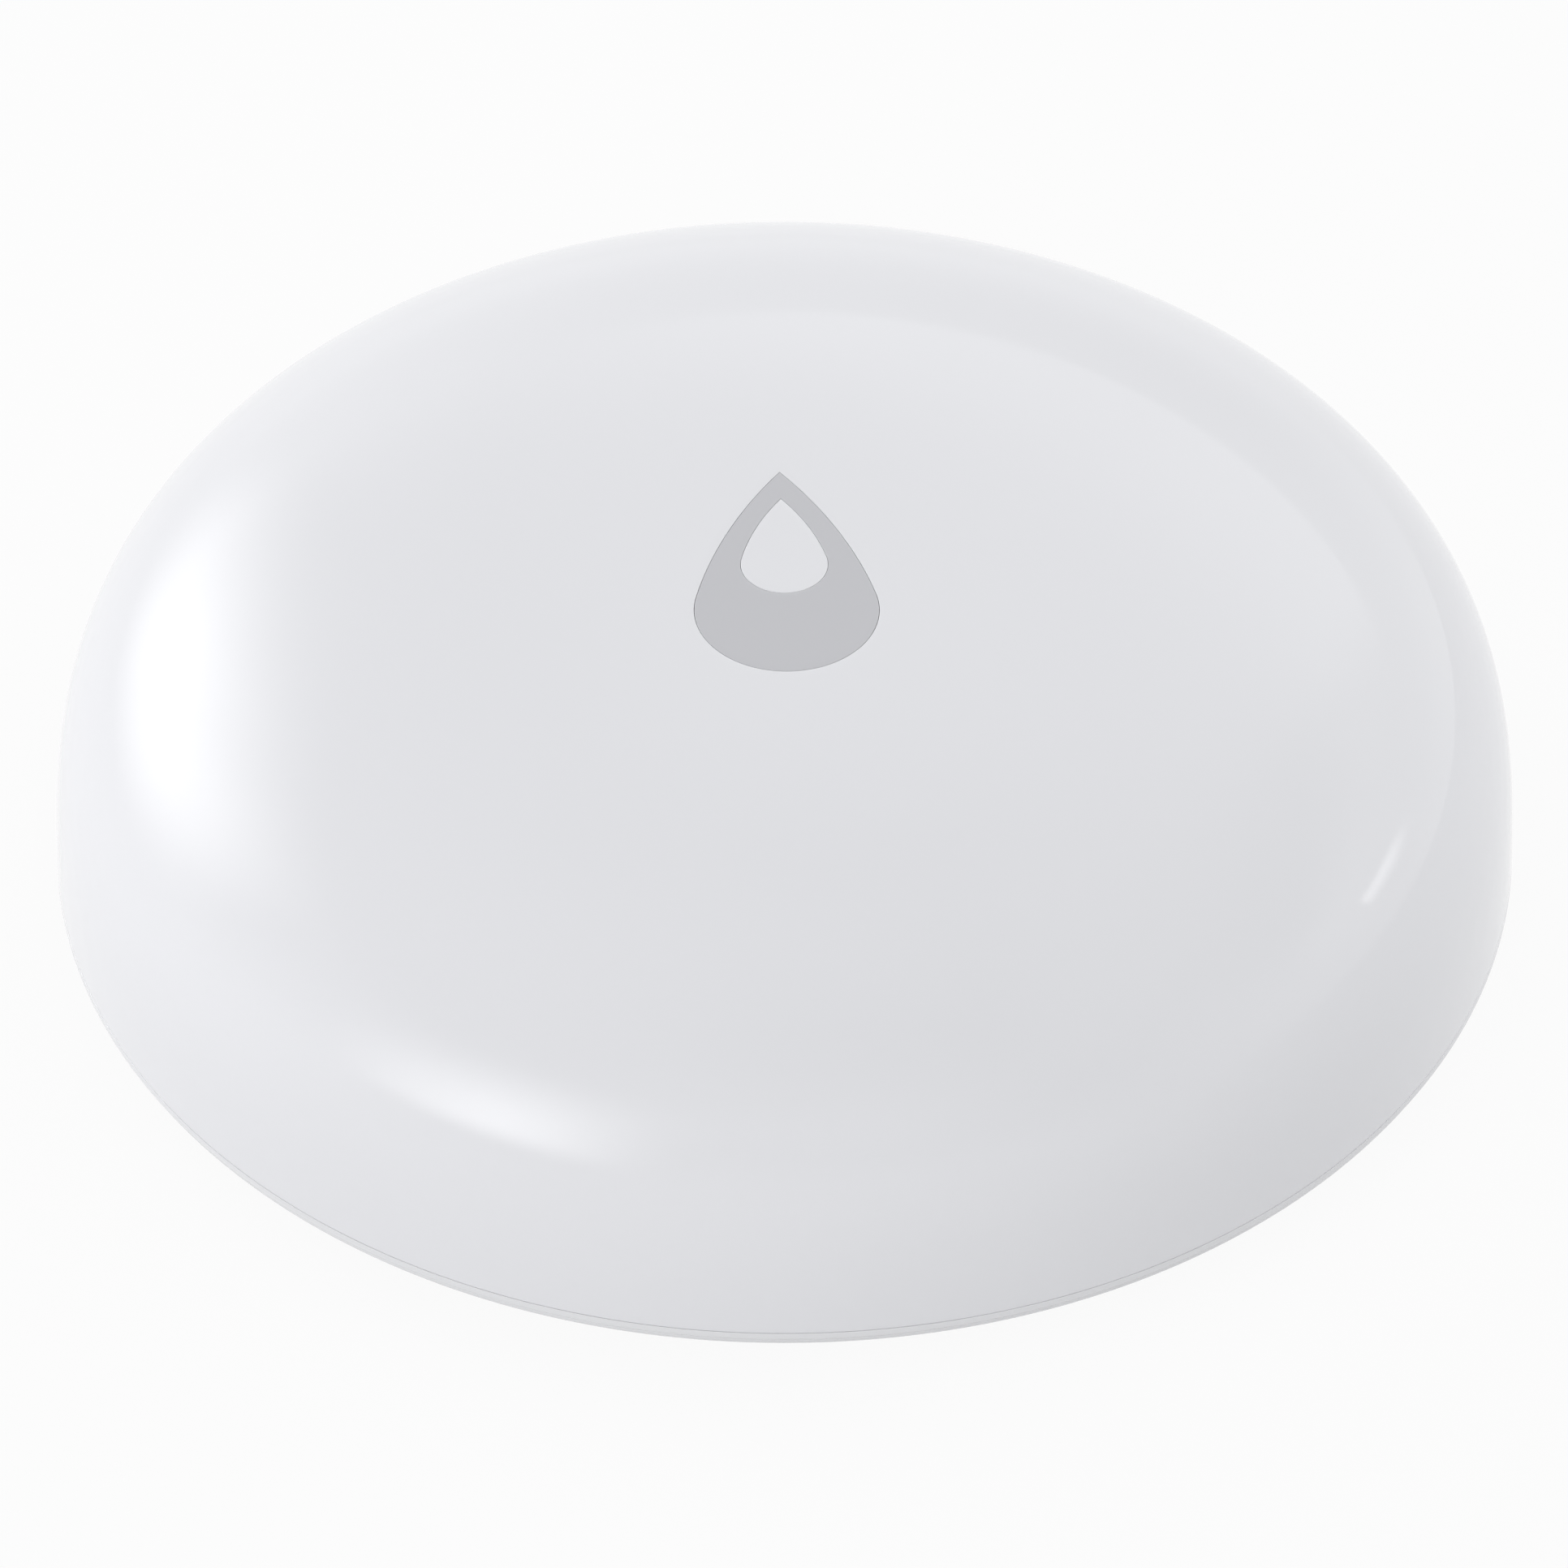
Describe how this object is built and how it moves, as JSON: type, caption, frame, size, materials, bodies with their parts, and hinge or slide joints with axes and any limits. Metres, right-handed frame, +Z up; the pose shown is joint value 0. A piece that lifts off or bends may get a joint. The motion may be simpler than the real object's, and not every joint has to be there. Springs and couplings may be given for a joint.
{
  "type": "water leak sensor",
  "caption": "Glossy white domed puck that lies on the floor and senses water with probe screws under a twist-off base; a flush grey drop-shaped key sits in the crown.",
  "frame": {"origin": "on the floor under the middle of the puck, level with the foot pads", "axes": "+Z up through the crown, +Y towards the tip of the drop, +X to the right as it is read"},
  "size_m": [0.05, 0.05, 0.015],
  "materials": {
    "cover_white": "high-gloss moulded white",
    "base_white": "fine satin texture",
    "key_grey": "light grey, slightly translucent",
    "silicone": "soft translucent silicone",
    "black_plastic": "moulded black",
    "plunger_brown": "moulded brown",
    "board_green": "solder-masked laminate",
    "steel": "stainless",
    "gold_contact": "gold flashed",
    "copper_trace": "gold-plated copper",
    "ceramic": "unglazed ceramic",
    "led_lens": "clear diffusing resin",
    "black_rubber": "soft moulded rubber"
  },
  "bodies": {
    "base": {"base_shell": "base_white", "seal_ring": "black_rubber", "probe_screw_left": "steel", "probe_screw_right": "steel", "probe_seals": "black_rubber", "probe_nuts": "steel"},
    "cover": {"top_cover": "cover_white", "key_membrane": "silicone", "membrane_clamp": "black_plastic", "circuit_board": "board_green", "switch_body": "black_plastic", "switch_dome": "steel", "switch_frame": "steel", "status_led": "led_lens", "radio_chip": "black_plastic", "clock_crystal": "steel", "trace_antenna": "copper_trace", "chip_parts": "ceramic", "board_screws": "steel", "cell_holder": "black_plastic", "cell_clip_positive": "gold_contact", "cell_contact_negative": "gold_contact", "cell_can": "steel", "cell_gasket": "black_rubber", "cell_cap": "steel", "probe_spring_left": "gold_contact", "probe_spring_right": "gold_contact"},
    "key": {"drop_key": "key_grey", "key_inlay": "cover_white"},
    "plunger": {"switch_plunger": "plunger_brown"}
  },
  "joints": [
    {"name": "cover_twist", "type": "hinge", "parent": "base", "child": "cover", "pos_m": [0, 0, 0.0046], "axis": [0, 0, 1], "range_deg": [0, 30]},
    {"name": "key_press", "type": "slide", "parent": "cover", "child": "key", "axis": [0, 0, -1], "range_m": [0, 0.00025], "stiffness_N_per_m": 4000, "springref_m": -0.00005, "deforming": ["key_membrane"]},
    {"name": "plunger_press", "type": "slide", "parent": "cover", "child": "plunger", "axis": [0, 0, -1], "range_m": [0, 0.00025], "deforming": ["switch_dome"]}
  ],
  "couplings": [
    {"joint": "plunger_press", "follows": "key_press", "ratio": 1}
  ]
}
